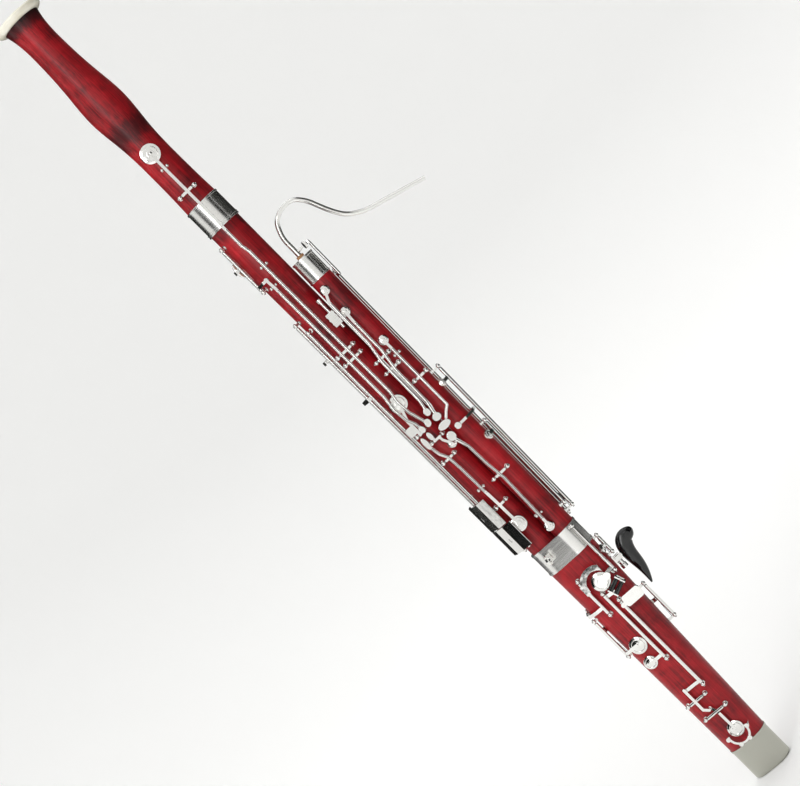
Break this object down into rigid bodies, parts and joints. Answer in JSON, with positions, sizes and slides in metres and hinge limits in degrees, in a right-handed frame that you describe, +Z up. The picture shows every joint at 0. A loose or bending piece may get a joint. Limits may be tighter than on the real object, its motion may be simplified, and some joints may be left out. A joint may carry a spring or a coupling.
{
  "type": "bassoon",
  "caption": "Bassoon of lacquered maple with nickel keywork: bell, long joint, wing joint, boot, bocal, hand rest, with every key, lever and roller moving.",
  "frame": {"origin": "bottom centre of the boot cap", "axes": "+Z up along the bores, +X from the long joint towards the wing joint, -Y the thumb side"},
  "size_m": [0.2473, 0.1038, 1.3344],
  "materials": {
    "maple": "polished",
    "nickel": "polished",
    "steel": "satin",
    "ivory": "polished",
    "cork": "matte",
    "ebonite": "polished",
    "liner": "satin",
    "resin": "polished"
  },
  "bodies": {
    "root": {"bell": "maple", "bell_ferrule": "nickel", "bell_ring": "ivory", "body_lock_housing": "nickel", "boot": "maple", "boot_cap": "nickel", "boot_ferrule": "nickel", "boot_posts": "nickel", "boot_rods": "steel", "bore_liners": "liner", "crutch_socket": "nickel", "long_joint": "maple", "long_posts": "nickel", "long_rods": "steel", "low_key_guard": "nickel", "strap_eye": "nickel", "tenon_corks": "cork", "tone_hole_rings": "nickel", "u_tube": "nickel", "u_tube_gasket": "cork", "u_tube_nuts": "steel", "wing_ferrule": "nickel", "wing_joint": "maple", "wing_posts": "nickel", "wing_rods": "steel"},
    "low_b_flat_lever": {"low_b_flat_lever": "nickel"},
    "bell_key": {"bell_key": "nickel"},
    "low_b_lever": {"low_b_lever": "nickel"},
    "low_b_key": {"low_b_key": "nickel"},
    "low_d_key": {"low_d_key": "nickel"},
    "low_c_lever": {"low_c_lever": "nickel"},
    "low_c_key": {"low_c_key": "nickel"},
    "low_c_sharp_key": {"low_c_sharp_key": "nickel"},
    "little_e_flat_key": {"little_e_flat_key": "nickel"},
    "little_c_sharp_key": {"little_c_sharp_key": "nickel"},
    "high_c_key": {"high_c_key": "nickel"},
    "high_a_key": {"high_a_key": "nickel"},
    "thumb_c_sharp_key": {"thumb_c_sharp_key": "nickel"},
    "wing_low_key": {"wing_low_key": "nickel"},
    "trill_e_flat_key": {"trill_e_flat_key": "nickel"},
    "trill_c_sharp_key": {"trill_c_sharp_key": "nickel"},
    "whisper_key": {"whisper_key": "nickel"},
    "pancake_key": {"pancake_key": "nickel"},
    "thumb_b_flat_key": {"thumb_b_flat_key": "nickel"},
    "f_sharp_key": {"f_sharp_key": "nickel"},
    "f_link_lever": {"f_link_lever": "nickel"},
    "f_sharp_cup": {"f_sharp_cup": "nickel"},
    "a_flat_key": {"a_flat_key": "nickel"},
    "g_sharp_key": {"g_sharp_key": "nickel"},
    "low_f_key": {"low_f_key": "nickel"},
    "g_key": {"g_key": "nickel"},
    "side_trill_key": {"side_trill_key": "nickel"},
    "bocal": {"bocal": "nickel", "bocal_cork": "cork", "bocal_pip": "nickel"},
    "crutch": {"crutch": "resin"},
    "crutch_screw": {"crutch_screw": "steel"},
    "body_lock_bolt": {"body_lock_bolt": "steel"},
    "roller_1": {"roller_1": "ebonite"},
    "roller_2": {"roller_2": "ebonite"}
  },
  "joints": [
    {"name": "low_b_flat_lever_hinge", "type": "hinge", "parent": "root", "child": "low_b_flat_lever", "pos_m": [-0.00502, -0.02741, 0.754], "axis": [0.9397, 0.342, 0], "range_deg": [0, 1.25], "stiffness_Nm_per_rad": 0.035, "springref_deg": -57.3},
    {"name": "bell_key_hinge", "type": "hinge", "parent": "root", "child": "bell_key", "pos_m": [-0.00431, -0.02715, 1.031], "axis": [0.9397, 0.342, 0], "range_deg": [-4.85, 0], "stiffness_Nm_per_rad": 0.035, "springref_deg": 57.3},
    {"name": "low_b_lever_hinge", "type": "hinge", "parent": "root", "child": "low_b_lever", "pos_m": [-0.00502, -0.02741, 0.7405], "axis": [0.9397, 0.342, 0], "range_deg": [0, 1], "stiffness_Nm_per_rad": 0.035, "springref_deg": -57.3},
    {"name": "low_b_key_hinge", "type": "hinge", "parent": "root", "child": "low_b_key", "pos_m": [-0.02901, -0.02273, 0.9135], "axis": [0, 0, 1], "range_deg": [-12.6, 0], "stiffness_Nm_per_rad": 0.035, "springref_deg": 57.3},
    {"name": "low_d_key_hinge", "type": "hinge", "parent": "root", "child": "low_d_key", "pos_m": [-0.01219, -0.02757, 0.615], "axis": [0.9397, 0.342, 0], "range_deg": [-2.8, 0], "stiffness_Nm_per_rad": 0.035, "springref_deg": 57.3},
    {"name": "low_c_lever_hinge", "type": "hinge", "parent": "root", "child": "low_c_lever", "pos_m": [-0.00918, -0.02562, 0.5685], "axis": [0.9397, 0.342, 0], "range_deg": [-2.4, 0], "stiffness_Nm_per_rad": 0.035, "springref_deg": 57.3},
    {"name": "low_c_key_hinge", "type": "hinge", "parent": "root", "child": "low_c_key", "pos_m": [-0.00407, -0.0227, 0.482], "axis": [0.9397, 0.342, 0], "range_deg": [0, 8], "stiffness_Nm_per_rad": 0.035, "springref_deg": -57.3},
    {"name": "low_c_sharp_key_hinge", "type": "hinge", "parent": "root", "child": "low_c_sharp_key", "pos_m": [-0.00306, -0.02254, 0.596], "axis": [0.9397, 0.342, 0], "range_deg": [-8, 0], "stiffness_Nm_per_rad": 0.035, "springref_deg": 57.3},
    {"name": "little_e_flat_key_hinge", "type": "hinge", "parent": "root", "child": "little_e_flat_key", "pos_m": [-0.03151, -0.02051, 0.637], "axis": [0, 0, 1], "range_deg": [0, 5], "stiffness_Nm_per_rad": 0.035, "springref_deg": -57.3},
    {"name": "little_c_sharp_key_hinge", "type": "hinge", "parent": "root", "child": "little_c_sharp_key", "pos_m": [-0.02417, -0.02584, 0.611], "axis": [0, 0, 1], "range_deg": [0, 4], "stiffness_Nm_per_rad": 0.035, "springref_deg": -57.3},
    {"name": "high_c_key_hinge", "type": "hinge", "parent": "root", "child": "high_c_key", "pos_m": [0.02192, -0.02366, 0.71606], "axis": [0.9396, 0.342, -0.0128], "range_deg": [0, 1.6], "stiffness_Nm_per_rad": 0.035, "springref_deg": -57.3},
    {"name": "high_a_key_hinge", "type": "hinge", "parent": "root", "child": "high_a_key", "pos_m": [0.02167, -0.02366, 0.69807], "axis": [0.9396, 0.342, -0.0128], "range_deg": [0, 2.2], "stiffness_Nm_per_rad": 0.035, "springref_deg": -57.3},
    {"name": "thumb_c_sharp_key_hinge", "type": "hinge", "parent": "root", "child": "thumb_c_sharp_key", "pos_m": [0.03816, -0.01825, 0.66684], "axis": [0.9396, 0.342, -0.0128], "range_deg": [0, 3], "stiffness_Nm_per_rad": 0.035, "springref_deg": -57.3},
    {"name": "wing_low_key_hinge", "type": "hinge", "parent": "root", "child": "wing_low_key", "pos_m": [0.02434, -0.02293, 0.51101], "axis": [0.9396, 0.342, -0.0128], "range_deg": [-2, 0], "stiffness_Nm_per_rad": 0.035, "springref_deg": 57.3},
    {"name": "trill_e_flat_key_hinge", "type": "hinge", "parent": "root", "child": "trill_e_flat_key", "pos_m": [0.04788, 0.0047, 0.49819], "axis": [0.0136, 0, 0.9999], "range_deg": [0, 5], "stiffness_Nm_per_rad": 0.035, "springref_deg": -57.3},
    {"name": "trill_c_sharp_key_hinge", "type": "hinge", "parent": "root", "child": "trill_c_sharp_key", "pos_m": [0.05169, 0.01183, 0.53764], "axis": [0.0136, 0, 0.9999], "range_deg": [0, 5], "stiffness_Nm_per_rad": 0.035, "springref_deg": -57.3},
    {"name": "whisper_key_hinge", "type": "hinge", "parent": "root", "child": "whisper_key", "pos_m": [0.04233, 0.01247, 0.62328], "axis": [0.0136, 0, 0.9999], "range_deg": [-11.6, 0], "stiffness_Nm_per_rad": 0.035, "springref_deg": 57.3},
    {"name": "pancake_key_hinge", "type": "hinge", "parent": "root", "child": "pancake_key", "pos_m": [0.0386, -0.0166, 0.3625], "axis": [0, 0, 1], "range_deg": [-7.8, 0], "stiffness_Nm_per_rad": 0.035, "springref_deg": 57.3},
    {"name": "thumb_b_flat_key_hinge", "type": "hinge", "parent": "root", "child": "thumb_b_flat_key", "pos_m": [-0.0045, -0.027, 0.316], "axis": [0, 0, 1], "range_deg": [0, 5], "stiffness_Nm_per_rad": 0.035, "springref_deg": -57.3},
    {"name": "f_sharp_key_hinge", "type": "hinge", "parent": "root", "child": "f_sharp_key", "pos_m": [0.0175, -0.0266, 0.219], "axis": [0, 0, 1], "range_deg": [0, 3.4], "stiffness_Nm_per_rad": 0.035, "springref_deg": -57.3},
    {"name": "f_link_lever_hinge", "type": "hinge", "parent": "root", "child": "f_link_lever", "pos_m": [-0.00525, -0.0234, 0.132], "axis": [1, 0, 0], "range_deg": [0, 4.7], "stiffness_Nm_per_rad": 0.035, "springref_deg": -57.3},
    {"name": "f_sharp_cup_hinge", "type": "hinge", "parent": "root", "child": "f_sharp_cup", "pos_m": [0.0015, -0.0234, 0.105], "axis": [1, 0, 0], "range_deg": [-7.4, 0], "stiffness_Nm_per_rad": 0.035, "springref_deg": 57.3},
    {"name": "a_flat_key_hinge", "type": "hinge", "parent": "root", "child": "a_flat_key", "pos_m": [0.0076, -0.027, 0.256], "axis": [0, 0, 1], "range_deg": [0, 6], "stiffness_Nm_per_rad": 0.035, "springref_deg": -57.3},
    {"name": "g_sharp_key_hinge", "type": "hinge", "parent": "root", "child": "g_sharp_key", "pos_m": [-0.031, -0.015, 0.26], "axis": [0, 0, 1], "range_deg": [-7, 0], "stiffness_Nm_per_rad": 0.035, "springref_deg": 57.3},
    {"name": "low_f_key_hinge", "type": "hinge", "parent": "root", "child": "low_f_key", "pos_m": [-0.0245, 0.0205, 0.186], "axis": [0, 0, 1], "range_deg": [-7.8, 0], "stiffness_Nm_per_rad": 0.035, "springref_deg": 57.3},
    {"name": "g_key_hinge", "type": "hinge", "parent": "root", "child": "g_key", "pos_m": [0.042, 0.0135, 0.253], "axis": [0, 0, 1], "range_deg": [0, 7.8], "stiffness_Nm_per_rad": 0.035, "springref_deg": -57.3},
    {"name": "side_trill_key_hinge", "type": "hinge", "parent": "root", "child": "side_trill_key", "pos_m": [0.0444, 0.0095, 0.353], "axis": [0, 0, 1], "range_deg": [0, 6], "stiffness_Nm_per_rad": 0.035, "springref_deg": -57.3},
    {"name": "roller_1_spin", "type": "hinge", "parent": "a_flat_key", "child": "roller_1", "pos_m": [0.028, -0.0287, 0.313], "axis": [0.9272, 0, 0.3746], "continuous": true},
    {"name": "roller_2_spin", "type": "hinge", "parent": "a_flat_key", "child": "roller_2", "pos_m": [0.0305, -0.0287, 0.3058], "axis": [0.9272, 0, 0.3746], "continuous": true},
    {"name": "bocal_swivel", "type": "hinge", "parent": "root", "child": "bocal", "pos_m": [0.03088, 0, 0.87396], "axis": [0.0136, 0, 0.9999], "range_deg": [-30, 30]},
    {"name": "crutch_slide", "type": "slide", "parent": "root", "child": "crutch", "axis": [0.9397, 0.342, 0], "range_m": [0, 0.012]},
    {"name": "crutch_screw_turn", "type": "hinge", "parent": "root", "child": "crutch_screw", "pos_m": [0.04088, 0.01488, 0.315], "axis": [0, 0, 1], "continuous": true},
    {"name": "body_lock_slide", "type": "slide", "parent": "root", "child": "body_lock_bolt", "axis": [0, 0, 1], "range_m": [-0.012, 0]}
  ],
  "couplings": [
    {"joint": "bell_key_hinge", "follows": "low_b_flat_lever_hinge", "ratio": -3.83},
    {"joint": "low_b_key_hinge", "follows": "low_b_lever_hinge", "ratio": -12.4},
    {"joint": "low_c_key_hinge", "follows": "low_c_lever_hinge", "ratio": -3.3},
    {"joint": "whisper_key_hinge", "follows": "pancake_key_hinge", "ratio": 1.48},
    {"joint": "f_link_lever_hinge", "follows": "f_sharp_key_hinge", "ratio": 1.33},
    {"joint": "f_sharp_cup_hinge", "follows": "f_sharp_key_hinge", "ratio": -2.1}
  ]
}
